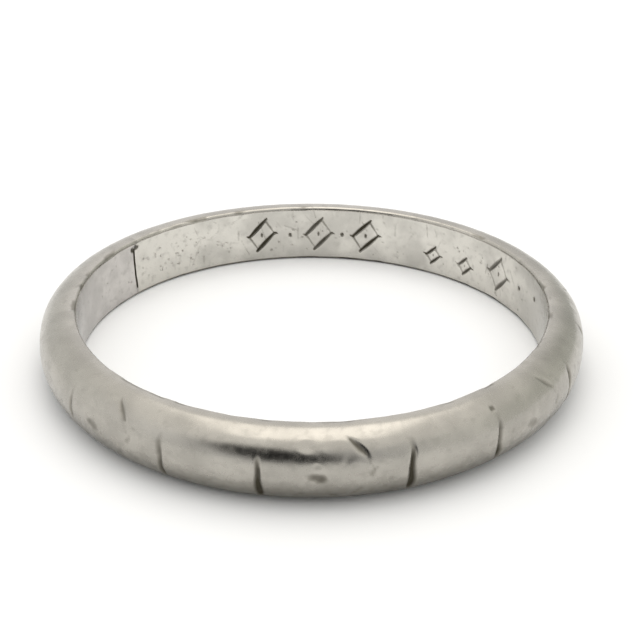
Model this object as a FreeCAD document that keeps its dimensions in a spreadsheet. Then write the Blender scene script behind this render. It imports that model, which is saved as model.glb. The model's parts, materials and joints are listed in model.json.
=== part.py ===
import FreeCAD, Part
import math
import os
import Sketcher

# A half-round wedding band with an engraved outside, made larger at some time by a
# length of plain stock soldered in between its cut ends.
#
# The origin is the centre of the finger bore, halfway across the width, and +Z runs
# along the ring's axis.  Each piece is an arc of the same section turned about Z.  It
# is drawn starting at angle 0, and its Placement turns it to where it sits on the ring.
# Lengths are in millimetres and angles in degrees.

SIZES = {
    # the ring
    "bore_radius": 8.25,
    "band_width": 2.3,
    "band_thickness": 1.3,
    # the half-round section, from its crown round to the edges of the bore
    "crown_radius": 1.5,
    "shoulder_radius": 1.0,
    "bore_edge_radius": 0.12,
    # the sizing piece and the solder at its two ends
    "rear_joint_angle": 146.3,
    "sizing_angle": 45,
    "solder_thickness": 0.1,
    "solder_recess": 0.03,
    # the engraved outside: a flower between two cross bars, then a plain field
    "repeat_angle": 45,
    "first_flower_angle": 229.5,
    "flower_field_angle": 27,
    "bar_thickness": 0.25,
    "bar_depth": 0.13,
    "bar_half_sweep": 34,
    "flower_depth": 0.2,
    "flower_eye_radius": 0.15,
    "petal_start": 0.36,
    "petal_end": 0.72,
    "petal_radius": 0.1,
    # the cuts inside the bore: lozenge outlines of two sizes, and beads
    "bore_cut_depth": 0.11,
    "lozenge_height": 1.3,
    "lozenge_length": 1.05,
    "lozenge_stroke": 0.17,
    "small_lozenge_height": 0.66,
    "small_lozenge_length": 0.56,
    "small_lozenge_stroke": 0.12,
    "bead_radius": 0.11,
    # where they stand, as angles of the ring
    "lozenge_1_angle": 105.3,
    "lozenge_2_angle": 88.8,
    "lozenge_3_angle": 75.2,
    "lozenge_4_angle": 31.4,
    "small_lozenge_1_angle": 54.7,
    "small_lozenge_2_angle": 44.2,
    "bead_1_angle": 97,
    "bead_2_angle": 82,
    "bead_3_angle": 21.5,
    "bead_4_angle": 12,
}

REPEATS = 7                 # the flowers round the band
PETALS = 6                  # the petals of each flower
LOZENGES = 4                # the cuts inside the bore
SMALL_LOZENGES = 2
BEADS = 4
TOOL_CLEARANCE = 0.4        # how far a cut reaches beyond the metal
LEAST_CUT = 1e-4            # a cut that removes less than this has missed
SQUARE_TURN = math.pi / 2   # in radians

# Expressions that several features share.
OUTER_RADIUS = "(Sizes.bore_radius + Sizes.band_thickness)"
CROWN_CENTRE = "(Sizes.bore_radius + Sizes.band_thickness - Sizes.crown_radius)"
SOLDER_ANGLE = "(Sizes.solder_thickness / Sizes.bore_radius * 180 / pi)"
BAND_START = f"(Sizes.rear_joint_angle + Sizes.sizing_angle + {SOLDER_ANGLE} / 2)"

START, END, CENTRE = 1, 2, 3        # the points of a sketch's line or arc
ORIGIN = (-1, 1)                    # the sketch's own origin, as a point
ACROSS, UP = -1, -2                 # the sketch's own axes

document = FreeCAD.newDocument("WeddingBand")


# ---------------------------------------------------------------- driving dimensions

sheet = document.addObject("Spreadsheet::Sheet", "Sizes")
for row, (alias, value) in enumerate(SIZES.items(), start=1):
    sheet.set(f"A{row}", alias)
    sheet.set(f"B{row}", str(value))
    sheet.setAlias(f"B{row}", alias)
document.recompute()


# ---------------------------------------------------------------- shared builders

def origin_feature(body, role):
    """The plane or axis of the body's own origin that has this role."""
    for feature in body.Origin.OriginFeatures:
        if feature.Role == role:
            return feature
    raise ValueError(f"{body.Label} has no {role}")


def new_body(label, start_angle):
    """A body whose Placement turns it about Z to the angle of an expression."""
    body = document.addObject("PartDesign::Body", label)
    body.Label = label
    about_z = FreeCAD.Rotation(FreeCAD.Vector(0, 0, 1), 90)
    body.Placement = FreeCAD.Placement(FreeCAD.Vector(0, 0, 0), about_z)
    body.setExpression("Placement.Rotation.Angle", f"{start_angle} * 1 deg")
    return body


def new_sketch(body, name, plane, angle=None, radius=None):
    """A sketch on a plane of the body's origin, turned about Z and moved outwards."""
    sketch = body.newObject("Sketcher::SketchObject", name)
    sketch.AttachmentSupport = (origin_feature(body, plane), "")
    sketch.MapMode = "FlatFace"
    if angle is not None:
        about_z = FreeCAD.Rotation(FreeCAD.Vector(0, 1, 0), 90)
        sketch.AttachmentOffset = FreeCAD.Placement(FreeCAD.Vector(0, 0, 0), about_z)
        sketch.setExpression("AttachmentOffset.Rotation.Angle", f"({angle}) * 1 deg")
    if radius is not None:
        sketch.setExpression("AttachmentOffset.Base.x",
                             f"({radius}) * sin(({angle}) * 1 deg)")
        sketch.setExpression("AttachmentOffset.Base.z",
                             f"({radius}) * cos(({angle}) * 1 deg)")
    return sketch


def line(x1, y1, x2, y2):
    return Part.LineSegment(FreeCAD.Vector(x1, y1, 0), FreeCAD.Vector(x2, y2, 0))


def circle(x, y, radius):
    return Part.Circle(FreeCAD.Vector(x, y, 0), FreeCAD.Vector(0, 0, 1), radius)


def arc(x, y, radius, start, end):
    """A counter-clockwise arc between two angles in radians."""
    return Part.ArcOfCircle(circle(x, y, radius), start, end)


def constrain(sketch, kind, *references):
    sketch.addConstraint(Sketcher.Constraint(kind, *references))


def dimension(sketch, kind, *references, name, value, expression, unit=""):
    """A dimension that starts at a value and is bound to the sheet."""
    index = sketch.addConstraint(Sketcher.Constraint(kind, *references, value))
    sketch.renameConstraint(index, name)
    sketch.setExpression(f"Constraints.{name}", f"({expression}){unit}")


def require_cut(body, feature, before):
    """Stop if a feature that should remove metal left the body's volume as it was."""
    document.recompute()
    removed = before - body.Shape.Volume
    if not removed > LEAST_CUT:
        raise ValueError(f"{feature.Label} removed {removed:.6f} cubic millimetres")


# ---------------------------------------------------------------- the section

def section_sketch(body, recess=None):
    """The half-round section, with every side set in by a cell of the sheet."""
    inset = SIZES[recess] if recess else 0
    less_inset = f" - Sizes.{recess}" if recess else ""
    plus_inset = f" + Sizes.{recess}" if recess else ""
    inner = SIZES["bore_radius"] + inset
    half = SIZES["band_width"] / 2 - inset
    edge = SIZES["bore_edge_radius"] - inset
    crown = SIZES["crown_radius"] - inset
    shoulder = SIZES["shoulder_radius"] - inset
    crown_x = SIZES["bore_radius"] + SIZES["band_thickness"] - SIZES["crown_radius"]
    shoulder_y = half - shoulder
    shoulder_x = crown_x + math.sqrt((crown - shoulder) ** 2 - shoulder_y ** 2)
    meeting = math.atan2(shoulder_y, shoulder_x - crown_x)

    sketch = new_sketch(body, f"{body.Label}_section", "XZ_Plane")
    bore, upper_edge, upper_side, upper_shoulder = 0, 1, 2, 3
    dome, lower_shoulder, lower_side, lower_edge = 4, 5, 6, 7
    sketch.addGeometry([
        line(inner, edge - half, inner, half - edge),
        arc(inner + edge, half - edge, edge, SQUARE_TURN, 2 * SQUARE_TURN),
        line(inner + edge, half, shoulder_x, half),
        arc(shoulder_x, shoulder_y, shoulder, meeting, SQUARE_TURN),
        arc(crown_x, 0, crown, -meeting, meeting),
        arc(shoulder_x, -shoulder_y, shoulder, -SQUARE_TURN, -meeting),
        line(shoulder_x, -half, inner + edge, -half),
        arc(inner + edge, edge - half, edge, 2 * SQUARE_TURN, 3 * SQUARE_TURN),
    ], False)
    constrain(sketch, "Tangent", bore, END, upper_edge, END)
    constrain(sketch, "Tangent", upper_edge, START, upper_side, START)
    constrain(sketch, "Tangent", upper_side, END, upper_shoulder, END)
    constrain(sketch, "Tangent", upper_shoulder, START, dome, END)
    constrain(sketch, "Tangent", dome, START, lower_shoulder, END)
    constrain(sketch, "Tangent", lower_shoulder, START, lower_side, START)
    constrain(sketch, "Tangent", lower_side, END, lower_edge, END)
    constrain(sketch, "Tangent", lower_edge, START, bore, START)
    constrain(sketch, "Horizontal", upper_side)
    constrain(sketch, "Horizontal", lower_side)
    constrain(sketch, "Symmetric", bore, START, bore, END, ACROSS)
    constrain(sketch, "PointOnObject", dome, CENTRE, ACROSS)
    constrain(sketch, "Equal", upper_edge, lower_edge)
    constrain(sketch, "Equal", upper_shoulder, lower_shoulder)
    dimension(sketch, "DistanceX", *ORIGIN, bore, START, name="bore_radius",
              value=inner, expression=f"Sizes.bore_radius{plus_inset}")
    dimension(sketch, "DistanceX", *ORIGIN, dome, CENTRE, name="crown_centre",
              value=crown_x, expression=CROWN_CENTRE)
    dimension(sketch, "DistanceY", lower_side, END, upper_side, START, name="band_width",
              value=2 * half, expression=f"Sizes.band_width{less_inset * 2}")
    dimension(sketch, "Radius", dome, name="crown_radius",
              value=crown, expression=f"Sizes.crown_radius{less_inset}")
    dimension(sketch, "Radius", upper_shoulder, name="shoulder_radius",
              value=shoulder, expression=f"Sizes.shoulder_radius{less_inset}")
    dimension(sketch, "Radius", upper_edge, name="bore_edge_radius",
              value=edge, expression=f"Sizes.bore_edge_radius{less_inset}")
    return sketch


def turn_section(body, sketch, angle):
    """Sweep the section about Z from angle 0 through the angle of an expression."""
    arc_of_band = body.newObject("PartDesign::Revolution", f"{body.Label}_arc")
    arc_of_band.Profile = sketch
    arc_of_band.ReferenceAxis = (sketch, ["V_Axis"])
    arc_of_band.setExpression("Angle", f"({angle}) * 1 deg")
    document.recompute()


# ---------------------------------------------------------------- the outside cuts

def repeat_round_band(body, feature, name, count):
    """Repeat a cut round the ring's axis, one repeat_angle apart."""
    pattern = body.newObject("PartDesign::PolarPattern", name)
    pattern.Originals = [feature]
    pattern.Axis = (origin_feature(body, "Z_Axis"), [""])
    pattern.Mode = "Spacing"
    pattern.Occurrences = count
    pattern.setExpression("Offset", "Sizes.repeat_angle * 1 deg")
    body.Tip = pattern
    document.recompute()


def cut_bars(body, name, angle):
    """Cross bars cut to an even depth over the dome, one in each repeat."""
    centre = SIZES["bore_radius"] + SIZES["band_thickness"] - SIZES["crown_radius"]
    floor = SIZES["crown_radius"] - SIZES["bar_depth"]
    outside = SIZES["crown_radius"] + TOOL_CLEARANCE
    sweep = math.radians(SIZES["bar_half_sweep"])
    across, up = math.cos(sweep), math.sin(sweep)

    sketch = new_sketch(body, f"{name}_sketch", "XZ_Plane", angle=angle)
    inner, upper_end, outer, lower_end = 0, 1, 2, 3
    sketch.addGeometry([
        arc(centre, 0, floor, -sweep, sweep),
        line(centre + floor * across, floor * up,
             centre + outside * across, outside * up),
        arc(centre, 0, outside, -sweep, sweep),
        line(centre + outside * across, -outside * up,
             centre + floor * across, -floor * up),
    ], False)
    constrain(sketch, "Coincident", inner, END, upper_end, START)
    constrain(sketch, "Coincident", upper_end, END, outer, END)
    constrain(sketch, "Coincident", outer, START, lower_end, START)
    constrain(sketch, "Coincident", lower_end, END, inner, START)
    constrain(sketch, "Coincident", inner, CENTRE, outer, CENTRE)
    constrain(sketch, "PointOnObject", inner, CENTRE, ACROSS)
    constrain(sketch, "PointOnObject", inner, CENTRE, upper_end)
    constrain(sketch, "PointOnObject", inner, CENTRE, lower_end)
    dimension(sketch, "DistanceX", *ORIGIN, inner, CENTRE, name="crown_centre",
              value=centre, expression=CROWN_CENTRE)
    dimension(sketch, "Radius", inner, name="floor_radius",
              value=floor, expression="Sizes.crown_radius - Sizes.bar_depth")
    dimension(sketch, "Radius", outer, name="outside_radius",
              value=outside, expression=f"Sizes.crown_radius + {TOOL_CLEARANCE}")
    dimension(sketch, "Angle", upper_end, name="upper_sweep", value=sweep,
              expression="Sizes.bar_half_sweep", unit=" * 1 deg")
    dimension(sketch, "Angle", lower_end, name="lower_sweep", value=math.pi - sweep,
              expression="180 - Sizes.bar_half_sweep", unit=" * 1 deg")

    before = body.Shape.Volume
    bar = body.newObject("PartDesign::Groove", name)
    bar.Profile = sketch
    bar.ReferenceAxis = (sketch, ["V_Axis"])
    bar.Midplane = True
    bar.setExpression("Angle", f"Sizes.bar_thickness / {OUTER_RADIUS} * 180 deg / pi")
    require_cut(body, bar, before)
    repeat_round_band(body, bar, f"{name}_repeated", REPEATS)


def cut_flowers(body, name, angle):
    """Flowers of one round eye and six round-ended petals, cut to a flat floor."""
    outside = f"{OUTER_RADIUS} + {TOOL_CLEARANCE}"
    sketch = new_sketch(body, f"{name}_sketch", "YZ_Plane", angle=angle, radius=outside)
    eye = sketch.addGeometry(circle(0, 0, SIZES["flower_eye_radius"]), False)
    constrain(sketch, "Coincident", eye, CENTRE, *ORIGIN)
    dimension(sketch, "Radius", eye, name="eye_radius",
              value=SIZES["flower_eye_radius"], expression="Sizes.flower_eye_radius")
    for petal in range(PETALS):
        add_petal(sketch, petal + 1, 360 / PETALS * petal)

    before = body.Shape.Volume
    flower = body.newObject("PartDesign::Pocket", name)
    flower.Profile = sketch
    flower.setExpression("Length", f"Sizes.flower_depth + {TOOL_CLEARANCE}")
    require_cut(body, flower, before)
    repeat_round_band(body, flower, f"{name}_repeated", REPEATS)


def add_petal(sketch, number, degrees):
    """One slot that points away from the flower's eye."""
    turn = math.radians(degrees)
    across, up = math.cos(turn), math.sin(turn)
    near, far = SIZES["petal_start"], SIZES["petal_end"]
    radius = SIZES["petal_radius"]
    side_x, side_y = radius * up, -radius * across
    tip, base, right, left = sketch.addGeometry([
        arc(far * across, far * up, radius, turn - SQUARE_TURN, turn + SQUARE_TURN),
        arc(near * across, near * up, radius, turn + SQUARE_TURN,
            turn + 3 * SQUARE_TURN),
        line(near * across + side_x, near * up + side_y,
             far * across + side_x, far * up + side_y),
        line(far * across - side_x, far * up - side_y,
             near * across - side_x, near * up - side_y),
    ], False)
    constrain(sketch, "Tangent", right, END, tip, START)
    constrain(sketch, "Tangent", tip, END, left, START)
    constrain(sketch, "Tangent", left, END, base, START)
    constrain(sketch, "Tangent", base, END, right, START)
    constrain(sketch, "Equal", tip, base)
    dimension(sketch, "Radius", tip, name=f"petal_{number}_radius",
              value=radius, expression="Sizes.petal_radius")
    for arc_of_petal, cell, reach in ((base, "petal_start", near), (tip, "petal_end", far)):
        dimension(sketch, "DistanceX", *ORIGIN, arc_of_petal, CENTRE,
                  name=f"{cell}_{number}_x", value=reach * across,
                  expression=f"Sizes.{cell} * cos({degrees} deg)")
        dimension(sketch, "DistanceY", *ORIGIN, arc_of_petal, CENTRE,
                  name=f"{cell}_{number}_y", value=reach * up,
                  expression=f"Sizes.{cell} * sin({degrees} deg)")


# ---------------------------------------------------------------- the cuts in the bore

def bore_sketch(body, name):
    """A sketch beneath the bore's wall at the angle that the sheet gives."""
    return new_sketch(body, f"{name}_sketch", "YZ_Plane",
                      angle=f"Sizes.{name}_angle - {BAND_START}",
                      radius="Sizes.bore_radius + Sizes.bore_cut_depth")


def pocket_bore(body, name, sketch):
    """Cut a sketch that lies beneath the bore's wall out towards the axis."""
    before = body.Shape.Volume
    pocket = body.newObject("PartDesign::Pocket", name)
    pocket.Profile = sketch
    pocket.setExpression("Length", f"Sizes.bore_cut_depth + {TOOL_CLEARANCE}")
    require_cut(body, pocket, before)


def cut_lozenge(body, name, style):
    """The outline of a lozenge, with its island left standing."""
    half_length = SIZES[f"{style}_length"] / 2
    half_height = SIZES[f"{style}_height"] / 2
    stroke = SIZES[f"{style}_stroke"]
    diagonal = math.hypot(half_length, half_height)
    island = 1 - stroke * diagonal / (half_length * half_height)
    length_cell = f"(Sizes.{style}_length / 2)"
    height_cell = f"(Sizes.{style}_height / 2)"
    diagonal_cell = f"sqrt({length_cell} ^ 2 + {height_cell} ^ 2)"
    island_cell = (f"(1 - Sizes.{style}_stroke * {diagonal_cell}"
                   f" / ({length_cell} * {height_cell}))")

    sketch = bore_sketch(body, name)
    for outline, scale, scale_cell in (("rim", 1, "1"), ("island", island, island_cell)):
        reach, rise = half_length * scale, half_height * scale
        right, top, left, foot = sketch.addGeometry([
            line(reach, 0, 0, rise),
            line(0, rise, -reach, 0),
            line(-reach, 0, 0, -rise),
            line(0, -rise, reach, 0),
        ], False)
        for side, following in ((right, top), (top, left), (left, foot), (foot, right)):
            constrain(sketch, "Coincident", side, END, following, START)
        for side, axis in ((right, ACROSS), (top, UP), (left, ACROSS), (foot, UP)):
            constrain(sketch, "PointOnObject", side, START, axis)
        dimension(sketch, "DistanceX", *ORIGIN, right, START, name=f"{outline}_right",
                  value=reach, expression=f"{length_cell} * {scale_cell}")
        dimension(sketch, "DistanceX", left, START, *ORIGIN, name=f"{outline}_left",
                  value=reach, expression=f"{length_cell} * {scale_cell}")
        dimension(sketch, "DistanceY", *ORIGIN, top, START, name=f"{outline}_top",
                  value=rise, expression=f"{height_cell} * {scale_cell}")
        dimension(sketch, "DistanceY", foot, START, *ORIGIN, name=f"{outline}_foot",
                  value=rise, expression=f"{height_cell} * {scale_cell}")
    pocket_bore(body, name, sketch)


def cut_bead(body, name):
    """A round bead between the lozenges."""
    sketch = bore_sketch(body, name)
    bead = sketch.addGeometry(circle(0, 0, SIZES["bead_radius"]), False)
    constrain(sketch, "Coincident", bead, CENTRE, *ORIGIN)
    dimension(sketch, "Radius", bead, name="bead_radius",
              value=SIZES["bead_radius"], expression="Sizes.bead_radius")
    pocket_bore(body, name, sketch)


# ---------------------------------------------------------------- the four pieces

def make_engraved_band():
    """The original band: a C, engraved outside and ornamented in the bore."""
    body = new_body("engraved_band", BAND_START)
    turn_section(body, section_sketch(body), f"360 - Sizes.sizing_angle - {SOLDER_ANGLE}")
    flower_angle = f"Sizes.first_flower_angle - {BAND_START}"
    cut_bars(body, "bars_before_flowers", f"{flower_angle} - Sizes.flower_field_angle / 2")
    cut_bars(body, "bars_after_flowers", f"{flower_angle} + Sizes.flower_field_angle / 2")
    cut_flowers(body, "flowers", flower_angle)
    for number in range(1, LOZENGES + 1):
        cut_lozenge(body, f"lozenge_{number}", "lozenge")
    for number in range(1, SMALL_LOZENGES + 1):
        cut_lozenge(body, f"small_lozenge_{number}", "small_lozenge")
    for number in range(1, BEADS + 1):
        cut_bead(body, f"bead_{number}")
    return body


def make_sizing_piece():
    """The plain stock let into the band, between its two solder joints."""
    body = new_body("sizing_piece", f"(Sizes.rear_joint_angle + {SOLDER_ANGLE} / 2)")
    turn_section(body, section_sketch(body), f"Sizes.sizing_angle - {SOLDER_ANGLE}")
    return body


def make_solder_joint(label, angle):
    """The film of solder in one joint, a little below the metal on every side."""
    body = new_body(label, f"({angle} - {SOLDER_ANGLE} / 2)")
    turn_section(body, section_sketch(body, recess="solder_recess"), SOLDER_ANGLE)
    return body


pieces = [
    make_engraved_band(),
    make_sizing_piece(),
    make_solder_joint("rear_solder_joint", "Sizes.rear_joint_angle"),
    make_solder_joint("side_solder_joint", "Sizes.rear_joint_angle + Sizes.sizing_angle"),
]
document.recompute()

for item in document.Objects:
    if {"Invalid", "Error"} & set(item.State):
        raise ValueError(f"{item.Label} failed: {item.State}")
for piece in pieces:
    if piece.Shape.isNull() or not piece.Shape.isValid():
        raise ValueError(f"{piece.Label} has no valid shape")

os.makedirs("parts", exist_ok=True)
for piece in pieces:
    piece.Shape.exportStep(f"parts/{piece.Label}.step")
    print(f"{piece.Label}: {piece.Shape.Volume:.3f} cubic millimetres")
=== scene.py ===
import json
import math

import bpy
import numpy as np
from mathutils import Matrix, Vector


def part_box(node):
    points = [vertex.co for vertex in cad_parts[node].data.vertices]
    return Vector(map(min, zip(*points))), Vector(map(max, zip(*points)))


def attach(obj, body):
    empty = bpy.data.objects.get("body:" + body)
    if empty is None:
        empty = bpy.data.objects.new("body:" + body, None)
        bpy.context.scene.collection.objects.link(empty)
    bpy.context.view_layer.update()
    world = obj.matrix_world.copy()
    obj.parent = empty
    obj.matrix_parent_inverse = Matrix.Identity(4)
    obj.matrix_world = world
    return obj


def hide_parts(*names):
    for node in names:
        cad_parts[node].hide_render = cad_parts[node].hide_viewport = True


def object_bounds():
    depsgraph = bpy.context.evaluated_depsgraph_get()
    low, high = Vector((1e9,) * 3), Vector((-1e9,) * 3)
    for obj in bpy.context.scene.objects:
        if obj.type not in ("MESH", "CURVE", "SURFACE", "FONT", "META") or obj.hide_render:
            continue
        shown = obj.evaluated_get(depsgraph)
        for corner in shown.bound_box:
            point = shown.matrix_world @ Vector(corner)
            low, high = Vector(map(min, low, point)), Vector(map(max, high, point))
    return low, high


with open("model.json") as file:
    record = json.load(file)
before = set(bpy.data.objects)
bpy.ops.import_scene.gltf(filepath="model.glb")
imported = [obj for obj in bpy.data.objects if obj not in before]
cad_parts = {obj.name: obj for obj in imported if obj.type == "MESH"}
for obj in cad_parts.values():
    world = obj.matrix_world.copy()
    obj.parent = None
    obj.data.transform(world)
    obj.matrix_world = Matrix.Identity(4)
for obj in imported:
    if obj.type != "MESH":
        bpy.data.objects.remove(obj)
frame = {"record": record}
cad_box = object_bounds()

# The looks of a worn, engraved wedding band.  Each of its four pieces is one mesh: the
# ring's half-round section swept round the axis, with the engraver's cuts, the wear and
# the joints worked into its surface.  Shapes are worked out in millimetres and degrees
# and turned into metres when the mesh is made.

MM = 0.001


# ---------------------------------------------------------------- sizes from the frame

def joint_angle(node):
    """Where a solder joint stands round the ring, in degrees from +X."""
    low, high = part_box(node)
    middle = (low + high) / 2
    return math.degrees(math.atan2(middle.y, middle.x)) % 360


bore = next(m for m in frame["record"]["mounts"] if m["name"] == "finger_bore")
BORE_RADIUS = bore["dims"]["r_mm"]
BORE_HALF_LENGTH = bore["dims"]["length_mm"] / 2
HALF_WIDTH = cad_box[1][2] / MM
OUTER_RADIUS = -cad_box[0][1] / MM
REAR_JOINT = joint_angle("rear_solder_joint")
SIDE_JOINT = joint_angle("side_solder_joint")

# As on the solid model: the section's arcs, and the thickness of a solder film.
CROWN_RADIUS = 1.5
SHOULDER_RADIUS = 1.0
SOLDER_THICKNESS = 0.1
HALF_SOLDER = math.degrees(SOLDER_THICKNESS / 2 / BORE_RADIUS)
MM_PER_DEGREE_OUTSIDE = math.radians(OUTER_RADIUS)
MM_PER_DEGREE_BORE = math.radians(BORE_RADIUS)

# Marks the bore in the finish.  It also keeps the bore's noise apart from the outside's.
BORE_MARK = 10

# The ring is slightly out of round: waves round it, how high, where the first one peaks.
OUT_OF_ROUND = ((2, 0.12, 62.7), (3, 0.066, 30))


# ---------------------------------------------------------------- noise

def lattice_noise(points, size, seed):
    """Smooth noise from -1 to 1 at points in millimetres, with features of this size."""
    period = 32
    table = np.random.default_rng(seed).uniform(-1, 1, (period, period, period))
    scaled = points / size
    cell = np.floor(scaled).astype(int)
    part = scaled - cell
    part = part * part * (3 - 2 * part)
    total = np.zeros(len(points))
    for corner in np.ndindex(2, 2, 2):
        weight = np.ones(len(points))
        for axis in range(3):
            weight *= part[:, axis] if corner[axis] else 1 - part[:, axis]
        x, y, z = ((cell + corner) % period).T
        total += weight * table[x, y, z]
    return total


def smooth_step(low, high, value):
    part = np.clip((value - low) / (high - low), 0, 1)
    return part * part * (3 - 2 * part)


# ---------------------------------------------------------------- the section

# The columns of the section's table.
RADIUS, HEIGHT, NORMAL_OUT, NORMAL_UP, OVER, INSIDE = range(6)


def arc_rows(centre, radius, turns, distance):
    """Section rows along an arc; distance gives how far each turn is from the crown."""
    rows = []
    for turn in turns:
        across, up = math.cos(turn), math.sin(turn)
        rows.append((centre[0] + radius * across, centre[1] + radius * up,
                     across, up, distance(turn), 0))
    return rows


def section_points():
    """The half-round section as a closed loop.

    Each row is radius, height, the outward normal's two parts, the distance over the
    dome from its crown (or the height, inside the bore), and 1 inside the bore.
    """
    edge = HALF_WIDTH - BORE_HALF_LENGTH
    crown_x = OUTER_RADIUS - CROWN_RADIUS
    shoulder_z = HALF_WIDTH - SHOULDER_RADIUS
    shoulder_x = crown_x + math.sqrt((CROWN_RADIUS - SHOULDER_RADIUS) ** 2 - shoulder_z ** 2)
    meeting = math.atan2(shoulder_z, shoulder_x - crown_x)
    to_meeting = CROWN_RADIUS * meeting
    to_rim = to_meeting + SHOULDER_RADIUS * (math.pi / 2 - meeting)
    rim = shoulder_x - BORE_RADIUS - edge

    rows = []
    bore_rows = 44
    for z in np.linspace(-BORE_HALF_LENGTH, BORE_HALF_LENGTH, bore_rows + 1)[:-1]:
        rows.append((BORE_RADIUS, z, -1, 0, z, 1))
    rows += arc_rows((BORE_RADIUS + edge, BORE_HALF_LENGTH), edge,
                     np.linspace(math.pi, math.pi / 2, 6)[:-1],
                     lambda turn: to_rim + rim + edge * (turn - math.pi / 2))
    for part in (0, 0.5):
        rows.append((BORE_RADIUS + edge + rim * part, HALF_WIDTH, 0, 1,
                     to_rim + rim * (1 - part), 0))
    rows += arc_rows((shoulder_x, shoulder_z), SHOULDER_RADIUS,
                     np.linspace(math.pi / 2, meeting, 18)[:-1],
                     lambda turn: to_meeting + SHOULDER_RADIUS * (turn - meeting))
    rows += arc_rows((crown_x, 0), CROWN_RADIUS, np.linspace(meeting, 0, 8)[:-1],
                     lambda turn: CROWN_RADIUS * turn)
    upper = np.array(rows)
    crown = np.array([(OUTER_RADIUS, 0, 1, 0, 0, 0)])
    lower = upper[bore_rows + 1:][::-1] * (1, -1, 1, -1, -1, 1)
    return np.vstack([upper, crown, lower])


SECTION = section_points()
IN_BORE = SECTION[:, INSIDE] > 0.5
# How far over the dome the flat rim starts.
RIM_DISTANCE = SECTION[SECTION[:, NORMAL_UP] == 1, OVER].min()


# ---------------------------------------------------------------- the surface of a piece

def out_of_round(angles):
    """How far the ring stands out or in from a true circle at these angles."""
    return sum(height * np.cos(np.radians(waves * (angles - peak)))
               for waves, height, peak in OUT_OF_ROUND)


def joint_bend(angles):
    """How far the rear joint's line in the bore strays, in degrees, at each height."""
    height = SECTION[:, HEIGHT]
    stray = 1.1 + 0.25 * smooth_step(-0.3, 0.5, height)
    stray -= 0.4 * smooth_step(-0.2, -0.75, height)
    reach = 4
    near = np.exp(-((angles - REAR_JOINT) % 360 / reach) ** 2)
    near += np.exp(-((REAR_JOINT - angles) % 360 / reach) ** 2)
    return np.minimum(near, 1)[:, None] * stray * IN_BORE


class Surface:
    """One arc of the ring as a grid: columns round the ring, rows round the section."""

    def __init__(self, angles):
        self.angles = angles
        shape = (len(angles), len(SECTION))
        self.rise = np.zeros(shape)
        self.patina = np.zeros(shape)

    def window(self, centre, reach, inside):
        """The grid points within reach of an angle, on the bore or on the outside.

        Returns their index and their places in millimetres, x to the right and y up
        for someone who looks at that face, from the middle of the window.
        """
        columns = np.flatnonzero(np.abs(self.angles - centre) < reach)
        rows = np.flatnonzero(IN_BORE == inside)
        scale = -MM_PER_DEGREE_BORE if inside else MM_PER_DEGREE_OUTSIDE
        x = (self.angles[columns, None] - centre) * scale
        y = np.broadcast_to(SECTION[rows, OVER], (len(columns), len(rows)))
        return np.ix_(columns, rows), np.broadcast_to(x, y.shape), y

    def sink(self, index, depth, dark):
        """Cut to a depth where the metal isn't already lower, and darken the cut."""
        self.rise[index] = np.minimum(self.rise[index], -depth)
        self.patina[index] = np.maximum(self.patina[index], dark)

    def stroke(self, view, start, end, widths, depth, dark, soft=0.4, swell=0.0):
        """A V-cut from start to end, as a graver makes it.

        Its half width goes from the first to the second of widths, and it swells in the
        middle by the part given.  Soft is how much of each wall the dirt fades over.
        """
        index, x, y = view
        along_x, along_y = end[0] - start[0], end[1] - start[1]
        length = math.hypot(along_x, along_y)
        part = ((x - start[0]) * along_x + (y - start[1]) * along_y) / length ** 2
        part = np.clip(part, 0, 1)
        away = np.hypot(x - start[0] - part * along_x, y - start[1] - part * along_y)
        half = widths[0] + (widths[1] - widths[0]) * part
        half = half * (1 - swell + swell * np.sin(math.pi * part))
        wall = np.clip(1 - away / half, 0, 1)
        depth = depth * half / max(widths)
        self.sink(index, depth * wall, dark * smooth_step(0, soft, wall))

    def dot(self, view, centre, radii, depth, dark, soft=0.7):
        """A round-bottomed pit; the dirt in it fades over the part given by soft."""
        index, x, y = view
        away = np.hypot((x - centre[0]) / radii[0], (y - centre[1]) / radii[1])
        wall = np.clip(1 - away ** 2, 0, 1)
        self.sink(index, depth * wall, dark * smooth_step(0, soft, wall))

    def points(self):
        """Where every grid point is, in millimetres, after its rise along the normal."""
        radius = SECTION[:, RADIUS] + self.rise * SECTION[:, NORMAL_OUT]
        radius = radius + out_of_round(self.angles)[:, None]
        height = SECTION[:, HEIGHT] + self.rise * SECTION[:, NORMAL_UP]
        turn = np.radians(self.angles[:, None] + joint_bend(self.angles))
        return np.stack([radius * np.cos(turn), radius * np.sin(turn), height], axis=2)

    def places(self):
        """Each point's place for the finish.

        It is the millimetres round the ring, the millimetres over the dome (or up, in
        the bore), and the bore's mark.
        """
        places = np.zeros(self.rise.shape + (3,), np.float32)
        places[:, :, 0] = self.angles[:, None] * MM_PER_DEGREE_BORE
        places[:, :, 1] = SECTION[:, OVER]
        places[:, :, 2] = SECTION[:, INSIDE] * BORE_MARK
        return places


def column_angles(start, end, count, features=()):
    """Angles from start to end, closer together near each (centre, reach, extra)."""
    steps_per_column = 40
    fine = np.linspace(start, end, steps_per_column * count)
    density = np.ones_like(fine)
    for centre, reach, extra in features:
        density += extra * np.exp(-((fine - centre) / reach) ** 4)
    total = np.concatenate([[0], np.cumsum((density[1:] + density[:-1]) / 2)])
    return np.interp(np.linspace(0, total[-1], count), total, fine)


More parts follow.
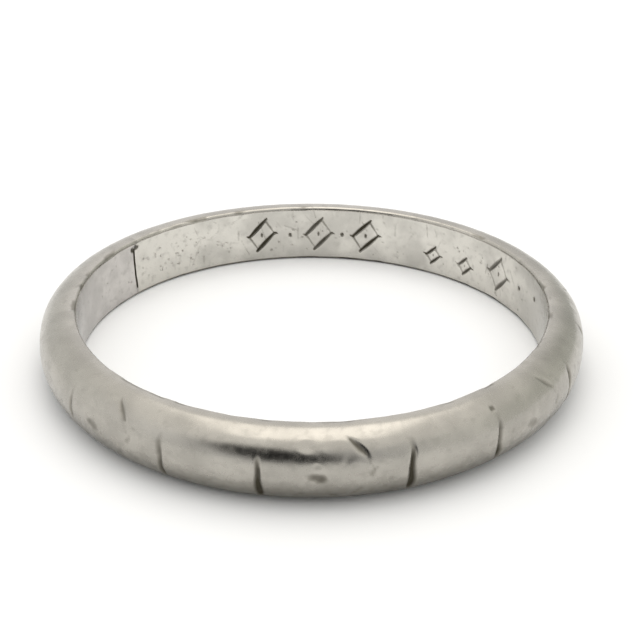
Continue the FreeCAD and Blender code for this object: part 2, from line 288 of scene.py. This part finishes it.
def make_piece(name, surface, material):
    """The mesh of one piece: its swept grid, closed with a flat face at each end."""
    columns, rows = surface.rise.shape
    points = surface.points().reshape(-1, 3)
    column = np.arange(columns - 1)[:, None] * rows
    row = np.arange(rows)[None, :]
    following = (row + 1) % rows
    quads = np.stack([column + row, column + rows + row, column + rows + following,
                      column + following], axis=2).reshape(-1, 4)
    faces = quads.tolist()
    faces.append(list(range(rows)))
    faces.append(list(range(columns * rows - 1, (columns - 1) * rows - 1, -1)))

    mesh = bpy.data.meshes.new(name)
    mesh.from_pydata((points * MM).tolist(), [], faces)
    smooth = np.ones(len(faces), bool)
    smooth[-2:] = False
    mesh.polygons.foreach_set("use_smooth", smooth)
    corners = np.empty(2 * len(mesh.edges), int)
    mesh.edges.foreach_get("vertices", corners)
    edge_columns = corners.reshape(-1, 2) // rows
    at_end = (edge_columns == 0).all(axis=1) | (edge_columns == columns - 1).all(axis=1)
    mesh.edges.foreach_set("use_edge_sharp", at_end)
    patina = mesh.attributes.new("patina", "FLOAT", "POINT")
    patina.data.foreach_set("value", surface.patina.ravel().astype(np.float32))
    place = mesh.attributes.new("place", "FLOAT_VECTOR", "POINT")
    place.data.foreach_set("vector", surface.places().ravel())
    mesh.validate()
    mesh.materials.append(material)
    piece = bpy.data.objects.new(name, mesh)
    bpy.context.scene.collection.objects.link(piece)
    return piece


# ---------------------------------------------------------------- wear

def wear(surface):
    """The slight waviness that wear leaves on every face, and nicks along the edges.

    Every piece draws the same noise, so the faces meet at the joints.
    """
    points = surface.points().reshape(-1, 3)
    waves = (0.008 * lattice_noise(points, 1.9, seed=11)
             + 0.004 * lattice_noise(points, 0.7, seed=12)
             + 0.0015 * lattice_noise(points, 0.3, seed=13))
    waves = waves.reshape(surface.rise.shape)
    nicks = lattice_noise(points, 0.45, seed=14).reshape(surface.rise.shape)
    edge = np.abs(SECTION[:, HEIGHT]) > BORE_HALF_LENGTH
    corner = edge & (SECTION[:, RADIUS] < BORE_RADIUS + 0.15)
    worn_off = 0.008
    surface.rise += waves - worn_off
    surface.rise -= 0.02 * smooth_step(-0.1, 0.7, nicks) * corner
    surface.patina += 0.5 * smooth_step(0.1, 0.6, nicks) * corner


PIT_DEPTH = 0.015


def scatter_pits(surface, seed, count, inside, angles, heights, radii, dark):
    """Small pits at random places between two angles and two heights."""
    random = np.random.default_rng(seed)
    for _ in range(count):
        angle = random.uniform(*angles)
        height = random.uniform(*heights)
        radius = random.uniform(*radii)
        stretch = random.uniform(0.8, 1.6)
        view = surface.window(angle, 2.5, inside)
        surface.dot(view, (0, height), (radius * stretch, radius),
                    PIT_DEPTH * random.uniform(0.5, 1), dark * random.uniform(0.3, 1))


def hollow_joint_top(surface, angle, height, radii):
    """The dark hollow at the top of the open joint; each piece has its own side of it."""
    view = surface.window(angle, 4, inside=True)
    surface.dot(view, (0, height), radii, depth=0.03, dark=0.9)


# ---------------------------------------------------------------- the outside engraving

# How much is left of each flower, from the first one round the ring to the last.
FLOWER_CLEARNESS = (0.7, 1.0, 0.55, 1.0, 1.0, 0.85, 0.9)
REPEAT = 45
FIRST_FLOWER = 229.5
FLOWER_ANGLES = [FIRST_FLOWER + REPEAT * number for number in range(len(FLOWER_CLEARNESS))]
BARS = (
    # angle, half width, depth, how dark, where it starts below, where it fades out above
    (218.8, 0.15, 0.05, 0.45, -0.3, 0.85),
    (242.9, 0.15, 0.07, 0.6, -0.8, 0.75),
    (261.0, 0.15, 0.10, 0.95, -0.95, 0.75),
    (288.0, 0.16, 0.12, 1.0, -0.85, 0.95),
    (306.9, 0.15, 0.08, 0.7, -0.6, 0.9),
    (333.0, 0.15, 0.09, 0.8, -1.0, 1.0),
    (351.0, 0.15, 0.1, 0.9, -1.0, 1.0),
    (378.3, 0.16, 0.1, 0.9, -0.9, 1.0),
    (396.0, 0.15, 0.08, 0.7, -1.0, 0.9),
    (423.2, 0.15, 0.1, 0.9, -1.0, 1.0),
    (440.8, 0.16, 0.11, 1.0, -0.9, 1.0),
    (468.0, 0.15, 0.09, 0.8, -1.0, 0.95),
    (486.3, 0.15, 0.08, 0.8, -0.8, 0.9),
)


def cut_bar(surface, angle, half, depth, dark, low, high):
    """A cross bar over the dome, deepest low down and worn away towards its ends."""
    index, x, y = surface.window(angle, 3, inside=False)
    wander = 0.03 * np.sin(y * 2.1 + angle) + 0.012 * np.sin(y * 7 + 2 * angle)
    width = half * (1 + 0.15 * np.sin(y * 4.3 + angle * 3))
    wall = smooth_step(0, 1, np.clip(1 - np.abs(x - wander) / width, 0, 1))
    kept = smooth_step(high + 0.2, high - 0.7, y) * smooth_step(low - 0.2, low + 0.15, y)
    surface.sink(index, depth * kept ** 2 * wall, dark * kept * wall)


def cut_flower(surface, angle, clear):
    """A flower between two bars, worn until little but its deepest cuts is left."""
    view = surface.window(angle, 11, inside=False)
    index, x, y = view
    centre = (0.05, 0.1)
    turn = np.arctan2(y - centre[1], x - centre[0])
    away = np.hypot(x - centre[0], y - centre[1])
    petal_count = 5
    petals = np.cos(petal_count / 2 * (turn - 0.45)) ** 2
    relief = 0.02 * petals * smooth_step(0.15, 0.5, away) * smooth_step(1.25, 0.85, away)
    surface.rise[index] += clear * relief
    surface.dot(view, (-0.87, 0.95), (0.3, 0.22), 0.025, 0)
    surface.dot(view, (-0.62, 0.03), (0.3, 0.18), 0.015, 0.8 * clear, soft=1.3)
    surface.dot(view, (-0.47, -0.02), (0.26, 0.22), 0.015, 0.85 * clear, soft=1.3)
    surface.stroke(view, (0.36, 1.18), (0.84, 0.66), (0.1, 0.17), 0.09, 0.75 * clear, 1, 0.5)
    surface.stroke(view, (0.78, 0.74), (1.05, 0.2), (0.1, 0.05), 0.03, 0.2 * clear, 1)
    surface.stroke(view, (1.12, 0.24), (1.0, 0.02), (0.07, 0.14), 0.05, 0.45 * clear, 1)
    surface.dot(view, (-0.1, -0.72), (0.16, 0.1), 0.02, 0.15 * clear)
    surface.stroke(view, (0.4, -0.7), (0.7, -0.45), (0.05, 0.1), 0.03, 0.15 * clear, 1)


def engrave_outside(surface):
    for angle, clear in zip(FLOWER_ANGLES, FLOWER_CLEARNESS):
        cut_flower(surface, angle, clear)
    for bar in BARS:
        cut_bar(surface, *bar)
    beside_bar = surface.window(306.7, 3, inside=False)
    surface.dot(beside_bar, (-0.04, 1.08), (0.13, 0.1), 0.04, 0.6)


# ---------------------------------------------------------------- the ornament in the bore

# The band's own angles run on past 360, and the ornament lies on that second turn.
LOZENGES = (
    # angle, height of the middle, lean of the top to the right, how dark
    (105.3, 0.02, 0.28, 1.0),
    (88.8, -0.02, 0.22, 0.85),
    (75.2, 0.0, 0.3, 1.0),
    (31.4, 0.02, 0.1, 0.75),
)
# The same for the small ones.
SMALL_LOZENGES = ((54.7, -0.3, 0.1, 1.0), (44.2, -0.32, 0.06, 0.9))
# Angle, height and radius.
BEADS = ((97.0, -0.05, 0.09), (82.0, -0.02, 0.09), (21.5, 0.05, 0.1), (12.0, 0.25, 0.12))


def cut_lozenge(surface, angle, height, lean, dark, length, tall):
    """A lozenge cut with thick and thin strokes that run past each other at the corners."""
    view = surface.window(angle + 360, 7, inside=True)
    half, up = length / 2, tall / 2
    thick, thin = 0.09 * tall ** 0.5, 0.035
    right = (half, height + lean * 0.2)
    left = (-half, height - lean * 0.2)
    top = (lean / 2, height + up)
    foot = (-lean / 2, height - up)
    beyond_top = (top[0] + 0.06, top[1] + 0.05)
    beyond_foot = (foot[0] - 0.06, foot[1] - 0.05)
    surface.stroke(view, beyond_top, left, (thick * 0.8, thick), 0.1, dark, swell=0.4)
    surface.stroke(view, beyond_foot, right, (thick, thick * 0.8), 0.1, dark, swell=0.4)
    surface.stroke(view, right, top, (thin, thin * 1.6), 0.04, dark * 0.5)
    surface.stroke(view, left, foot, (thin * 1.6, thin), 0.04, dark * 0.5)
    surface.stroke(view, (left[0] - 0.14, left[1] + 0.04), left, (0.015, thick * 0.7), 0.05, dark)
    surface.stroke(view, (right[0] + 0.16, right[1] - 0.02), right, (0.015, thick * 0.7), 0.05,
                   dark)
    surface.dot(view, (0, height), (0.05 * tall, 0.08 * tall), 0.05, dark * 0.8)


def ornament_bore(surface):
    for angle, height, lean, dark in LOZENGES:
        cut_lozenge(surface, angle, height, lean, dark, length=1.05, tall=1.3)
    for angle, height, lean, dark in SMALL_LOZENGES:
        cut_lozenge(surface, angle, height, lean, dark, length=0.6, tall=0.66)
    for angle, height, radius in BEADS:
        view = surface.window(angle + 360, 3, inside=True)
        surface.dot(view, (0, height), (radius, radius), 0.06, 0.85)


def scratch_bore(surface, seed, count, angles):
    """Faint straight scratches inside the bore, most of them up and down."""
    random = np.random.default_rng(seed)
    for _ in range(count):
        angle = random.uniform(*angles)
        height = random.uniform(-0.9, 0.8)
        long = random.uniform(0.2, 0.8)
        turn = random.normal(math.pi / 2, 0.5)
        view = surface.window(angle, 5, inside=True)
        end = (long * math.cos(turn), height + long * math.sin(turn))
        surface.stroke(view, (0, height), end, (0.03, 0.03), 0.006, random.uniform(0.05, 0.3))


# ---------------------------------------------------------------- the four pieces

BAND_START = SIDE_JOINT + HALF_SOLDER
BAND_END = REAR_JOINT + 360 - HALF_SOLDER


def engraved_band(material):
    features = [(bar[0], 1.6, 1.4) for bar in BARS]
    features += [(angle, 7, 0.4) for angle in FLOWER_ANGLES]
    features += [(row[0] + 360, 4.4, 1.2) for row in LOZENGES + SMALL_LOZENGES]
    surface = Surface(column_angles(BAND_START, BAND_END, count=930, features=features))
    wear(surface)
    engrave_outside(surface)
    ornament_bore(surface)
    scratch_bore(surface, seed=31, count=60, angles=(365, 500))
    scatter_pits(surface, seed=21, count=50, inside=True, angles=(475, 504),
                 heights=(-0.55, 0.45), radii=(0.03, 0.06), dark=0.6)
    scatter_pits(surface, seed=22, count=110, inside=True, angles=(360, 500),
                 heights=(-0.9, 0.9), radii=(0.03, 0.06), dark=0.5)
    hollow_joint_top(surface, BAND_END, height=0.86, radii=(0.26, 0.12))
    scatter_pits(surface, seed=23, count=60, inside=False, angles=(195, 500),
                 heights=(-1.3, 1.3), radii=(0.04, 0.1), dark=0.2)
    return make_piece("worn_engraved_band", surface, material)


def sizing_piece(material):
    start, end = REAR_JOINT + HALF_SOLDER, SIDE_JOINT - HALF_SOLDER
    surface = Surface(column_angles(start, end, count=130))
    wear(surface)
    scatter_pits(surface, seed=24, count=40, inside=True, angles=(start, end),
                 heights=(-0.9, 0.9), radii=(0.02, 0.05), dark=0.5)
    hollow_joint_top(surface, start, height=0.82, radii=(0.2, 0.14))
    return make_piece("worn_sizing_piece", surface, material)


def solder_joint(name, angle, open_part, material):
    """A film of solder: sunk and dark where the joint is open, flush where it is closed."""
    surface = Surface(np.linspace(angle - HALF_SOLDER, angle + HALF_SOLDER, 7))
    wear(surface)
    surface.rise -= 0.03 * open_part
    surface.patina += 0.95 * open_part
    return make_piece(name, surface, material)


def rear_opening():
    """How open the rear joint is at each row of the section: only inside the bore."""
    height = SECTION[:, HEIGHT]
    return IN_BORE * smooth_step(-0.88, -0.78, height) * smooth_step(0.95, 0.8, height)


# ---------------------------------------------------------------- shader nodes

def feed(tree, socket, value):
    """Give a socket another node's output, or a plain value."""
    if isinstance(value, bpy.types.NodeSocket):
        tree.links.new(value, socket)
    else:
        socket.default_value = value


def calculate(tree, operation, *values):
    node = tree.nodes.new("ShaderNodeMath")
    node.operation = operation
    for socket, value in zip(node.inputs, values):
        feed(tree, socket, value)
    return node.outputs[0]


def ramp(tree, value, low, high, to_low=0.0, to_high=1.0, smooth=True):
    """Take a value from one range to another, and no further."""
    node = tree.nodes.new("ShaderNodeMapRange")
    node.interpolation_type = "SMOOTHSTEP" if smooth else "LINEAR"
    for socket, number in zip(node.inputs, (value, low, high, to_low, to_high)):
        feed(tree, socket, number)
    return node.outputs["Result"]


def blend_colours(tree, factor, first, second):
    node = tree.nodes.new("ShaderNodeMix")
    node.data_type = "RGBA"
    feed(tree, node.inputs["Factor"], factor)
    for name, colour in (("A", first), ("B", second)):
        socket = next(s for s in node.inputs if s.name == name and s.type == "RGBA")
        feed(tree, socket, colour if isinstance(colour, bpy.types.NodeSocket) else (*colour, 1))
    return next(s for s in node.outputs if s.type == "RGBA")


def noise(tree, vector, stretch, scale, detail):
    """Noise whose features are longer along the axes with a small stretch."""
    mapping = tree.nodes.new("ShaderNodeMapping")
    mapping.inputs["Scale"].default_value = stretch
    tree.links.new(vector, mapping.inputs["Vector"])
    node = tree.nodes.new("ShaderNodeTexNoise")
    node.inputs["Scale"].default_value = scale
    node.inputs["Detail"].default_value = detail
    tree.links.new(mapping.outputs["Vector"], node.inputs["Vector"])
    return node.outputs["Fac"]


# ---------------------------------------------------------------- materials

# The colour of the dirt in the cuts, also used for the painted shade low on the dome.
DIRT_AND_SHADE = (0.045, 0.038, 0.02)
OUTSIDE_COLOUR = (0.44, 0.42, 0.38)
SMOOTHEST = 0.22


def worn_metal(name, bore_colour):
    """White gold, satin from wear, with dirt in its cuts and hairline scratches.

    The outside has gone darker and warmer than the bore, and a little rougher. Low on the dome a
    painted shade darkens it, and round the bore a painted reflection makes it lighter and darker
    in turn.
    """
    material = bpy.data.materials.new(name)
    material.use_nodes = True
    tree = material.node_tree
    shader = tree.nodes["Principled BSDF"]
    place_node = tree.nodes.new("ShaderNodeAttribute")
    place_node.attribute_name = "place"
    place = place_node.outputs["Vector"]
    patina_node = tree.nodes.new("ShaderNodeAttribute")
    patina_node.attribute_name = "patina"

    place_parts = tree.nodes.new("ShaderNodeSeparateXYZ")
    tree.links.new(place, place_parts.inputs["Vector"])
    in_bore = ramp(tree, place_parts.outputs["Z"], 0.4 * BORE_MARK, 0.6 * BORE_MARK)
    over_dome = calculate(tree, "ABSOLUTE", place_parts.outputs["Y"])
    on_rim = ramp(tree, over_dome, RIM_DISTANCE - 0.15, RIM_DISTANCE + 0.1, 0.0, 0.15)
    polished = calculate(tree, "MAXIMUM", in_bore, on_rim)

    # Round the bore a painted reflection comes and goes four times: the colour turns darker and
    # lighter for the changing brightness of what the bore reflects.
    reflection_waves = 4
    painted_reflection_wave = calculate(tree, "MULTIPLY", place_parts.outputs["X"], reflection_waves / BORE_RADIUS)
    painted_reflection_wave = calculate(tree, "MULTIPLY", calculate(tree, "COSINE", painted_reflection_wave), in_bore)
    clouds_and_reflection = noise(tree, place, (1, 1, 1), 0.8, 4)
    clouds_and_reflection = calculate(tree, "MULTIPLY_ADD", painted_reflection_wave, 0.13, clouds_and_reflection)
    mottle = noise(tree, place, (1, 1, 1), 3.5, 3)
    hairs = noise(tree, place, (0.5, 9, 1), 2.2, 4)
    metal = blend_colours(tree, polished, OUTSIDE_COLOUR, bore_colour)
    dull_outside = [part * 0.84 for part in OUTSIDE_COLOUR]
    dull_bore = [part * 0.76 for part in bore_colour]
    dull = blend_colours(tree, polished, dull_outside, dull_bore)
    # Random cloudy tone, with the painted reflection bands of the bore added in.
    metal = blend_colours(tree, ramp(tree, clouds_and_reflection, 0.35, 0.65), metal, dull)
    metal = blend_colours(tree, ramp(tree, mottle, 0.5, 0.75, 0.0, 0.6), metal, dull)

    # Dirt fills the cuts. Painted shade lies low on the dome but not in the bore: a darker film
    # there stands in for the shadowed floor that the lower dome reflects.
    low = ramp(tree, place_parts.outputs["Y"], 0.05, -0.7, 0.0, 0.4)
    lower_shade_outside = calculate(tree, "SUBTRACT", low, in_bore)
    painted_lower_shade = calculate(tree, "MAXIMUM", lower_shade_outside, 0.0)
    dirt_and_painted_shade = calculate(tree, "ADD", patina_node.outputs["Fac"], painted_lower_shade)
    ragged = calculate(tree, "MULTIPLY_ADD", mottle, 0.35, dirt_and_painted_shade)
    # The dirt in the cuts plus the painted shade low on the dome: darker, less metallic and
    # rougher.
    grime_and_painted_shade = ramp(tree, ragged, 0.2, 1.15, smooth=False)
    feed(tree, shader.inputs["Base Color"], blend_colours(tree, grime_and_painted_shade, metal, DIRT_AND_SHADE))
    feed(tree, shader.inputs["Metallic"], ramp(tree, grime_and_painted_shade, 0.3, 1.0, 1.0, 0.5))
    satin = ramp(tree, mottle, 0.3, 0.75, SMOOTHEST, SMOOTHEST + 0.1)
    satin = calculate(tree, "MULTIPLY_ADD", in_bore, -0.06, satin)
    feed(tree, shader.inputs["Roughness"], ramp(tree, grime_and_painted_shade, 0.0, 1.0, satin, 0.6))

    bump = tree.nodes.new("ShaderNodeBump")
    bump.inputs["Strength"].default_value = 0.2
    bump.inputs["Distance"].default_value = 0.003 * MM
    relief = calculate(tree, "MULTIPLY_ADD", hairs, 0.6, mottle)
    feed(tree, bump.inputs["Height"], relief)
    feed(tree, shader.inputs["Normal"], bump.outputs["Normal"])
    return material


def paper_material():
    """The matt white sheet under the ring."""
    material = bpy.data.materials.new("white_paper")
    material.use_nodes = True
    tree = material.node_tree
    shader = tree.nodes["Principled BSDF"]
    position = tree.nodes.new("ShaderNodeTexCoord").outputs["Object"]
    tone = noise(tree, position, (1, 1, 1), 60, 2)
    sheet = blend_colours(tree, tone, (0.92, 0.93, 0.945), (0.94, 0.95, 0.965))
    feed(tree, shader.inputs["Base Color"], sheet)
    shader.inputs["Roughness"].default_value = 0.9
    shader.inputs["Specular IOR Level"].default_value = 0.0
    return material


# ---------------------------------------------------------------- floor, light, camera

def floor():
    """A plain white sheet that the ring lies on."""
    half = 1500 * MM
    level = cad_box[0][2]
    mesh = bpy.data.meshes.new("floor")
    mesh.from_pydata([(-half, -half, level), (half, -half, level), (half, half, level),
                      (-half, half, level)], [], [(0, 1, 2, 3)])
    mesh.materials.append(paper_material())
    sheet = bpy.data.objects.new("floor", mesh)
    bpy.context.scene.collection.objects.link(sheet)


# The studio's walls: degrees to the right of the camera's side, and their colour there.
WALLS = (
    (-180, 1.12, 1.10, 1.10),
    (-150, 0.93, 0.93, 0.91),
    (-110, 1.03, 1.03, 1.00),
    (-80, 1.26, 1.25, 1.23),
    (-45, 0.86, 0.86, 0.85),
    (-20, 0.75, 0.75, 0.75),
    (20, 0.75, 0.75, 0.75),
    (70, 1.02, 1.02, 0.98),
    (110, 0.84, 0.85, 0.79),
    (145, 0.62, 0.63, 0.59),
    (180, 1.12, 1.10, 1.10),
)
CEILING = (1.20, 1.18, 1.14)

# The dark front of the lens, in degrees; the lean is degrees up for each degree right.
LENS_AZIMUTH, LENS_ELEVATION = -13, 25.5
LENS_HALF_WIDTH, LENS_HALF_HEIGHT = 34, 26
LENS_LEAN = -0.35


def surroundings():
    """A pale studio: warm light from above, grey walls, and the dark front of a lens."""
    world = bpy.data.worlds.new("studio")
    world.use_nodes = True
    tree = world.node_tree
    direction = tree.nodes.new("ShaderNodeTexCoord").outputs["Generated"]
    parts = tree.nodes.new("ShaderNodeSeparateXYZ")
    tree.links.new(direction, parts.inputs["Vector"])
    x, y, z = parts.outputs
    degrees = 180 / math.pi
    elevation = calculate(tree, "MULTIPLY", calculate(tree, "ARCSINE", z), degrees)
    azimuth = calculate(tree, "ARCTAN2", x, calculate(tree, "MULTIPLY", y, -1))
    azimuth = calculate(tree, "MULTIPLY", azimuth, degrees)

    walls = tree.nodes.new("ShaderNodeValToRGB")
    feed(tree, walls.inputs["Fac"], calculate(tree, "MULTIPLY_ADD", azimuth, 1 / 360, 0.5))
    stops = walls.color_ramp.elements
    stops[0].color = (*WALLS[0][1:], 1)
    stops[-1].color = (*WALLS[-1][1:], 1)
    for angle, *tone in WALLS[1:-1]:
        stops.new(angle / 360 + 0.5).color = (*tone, 1)
    colour = blend_colours(tree, ramp(tree, elevation, 25, 55), walls.outputs["Color"], CEILING)

    # The lens: an ellipse that leans, with a soft outline.
    sideways = calculate(tree, "SUBTRACT", azimuth, LENS_AZIMUTH)
    middle = calculate(tree, "MULTIPLY_ADD", sideways, LENS_LEAN, LENS_ELEVATION)
    across = calculate(tree, "DIVIDE", sideways, LENS_HALF_WIDTH)
    upward = calculate(tree, "SUBTRACT", elevation, middle)
    upward = calculate(tree, "DIVIDE", upward, LENS_HALF_HEIGHT)
    away = calculate(tree, "SQRT", calculate(tree, "ADD", calculate(tree, "POWER", across, 2),
                                             calculate(tree, "POWER", upward, 2)))
    lens = ramp(tree, away, 1.05, 0.65)
    colour = blend_colours(tree, lens, colour, (0, 0, 0))
    feed(tree, tree.nodes["Background"].inputs["Color"], colour)
    bpy.context.scene.world = world


def softbox():
    """A broad warm lamp overhead, a little behind the ring."""
    lamp = bpy.data.lights.new("softbox", "AREA")
    lamp.shape = "RECTANGLE"
    lamp.size, lamp.size_y = 80 * MM, 130 * MM
    brightness = 1.15
    lamp.energy = brightness * math.pi * lamp.size * lamp.size_y
    lamp.color = (1, 0.95, 0.89)
    light = bpy.data.objects.new("softbox", lamp)
    light.location = (0, 35 * MM, 120 * MM)
    bpy.context.scene.collection.objects.link(light)


def camera():
    """A lens 42 mm from the middle of the ring, looking down at it."""
    lens = bpy.data.cameras.new("camera")
    lens.lens = 67.1
    lens.sensor_width = 36
    lens.clip_start = 1 * MM
    lens.clip_end = 10
    place = Vector((0, -37.71, 19.21))
    target = Vector((0.246, 0, 0.131))
    roll = math.radians(1.0)
    forward = (target - place).normalized()
    level_right = forward.cross(Vector((0, 0, 1))).normalized()
    level_up = level_right.cross(forward)
    right = level_right * math.cos(roll) + level_up * math.sin(roll)
    turn = Matrix((right, right.cross(forward), -forward)).transposed()
    eye = bpy.data.objects.new("camera", lens)
    eye.matrix_world = Matrix.Translation(place * MM) @ turn.to_4x4()
    bpy.context.scene.collection.objects.link(eye)
    bpy.context.scene.camera = eye


# ---------------------------------------------------------------- the scene

camera()
floor()
surroundings()
softbox()
bpy.context.scene.view_settings.view_transform = "Standard"

band_metal = worn_metal("band_metal", bore_colour=(0.67, 0.65, 0.60))
sizing_metal = worn_metal("sizing_metal", bore_colour=(0.63, 0.605, 0.58))
solder_metal = worn_metal("solder", bore_colour=(0.50, 0.48, 0.46))
closed = np.zeros(len(SECTION))
pieces = (
    (engraved_band(band_metal), "engraved_band", "band_metal"),
    (sizing_piece(sizing_metal), "sizing_piece", "sizing_metal"),
    (solder_joint("worn_rear_solder", REAR_JOINT, rear_opening(), solder_metal),
     "rear_solder_joint", "solder"),
    (solder_joint("worn_side_solder", SIDE_JOINT, closed, solder_metal),
     "side_solder_joint", "solder"),
)
for piece, node, slot in pieces:
    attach(piece, "root")
    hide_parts(node)
